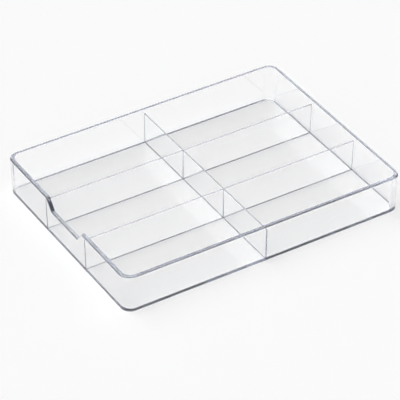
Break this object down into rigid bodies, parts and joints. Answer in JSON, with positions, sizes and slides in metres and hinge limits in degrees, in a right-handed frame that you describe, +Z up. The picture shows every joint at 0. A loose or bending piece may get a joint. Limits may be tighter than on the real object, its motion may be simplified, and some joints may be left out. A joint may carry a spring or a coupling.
{
  "type": "compartment tray",
  "caption": "Low open tray of clear plastic, split by thin upright dividers into equal compartments, with a finger notch in one short wall.",
  "frame": {"origin": "middle of the underside, on the surface that the tray stands on", "axes": "+Z up, +Y along the tray's length, away from the short wall with the finger notch, which faces -Y; X across the width"},
  "size_m": [0.244, 0.33, 0.0435],
  "materials": {
    "clear_plastic": "clear, colourless and polished"
  },
  "bodies": {
    "root": {"caddy_tray": "clear_plastic"}
  },
  "joints": []
}
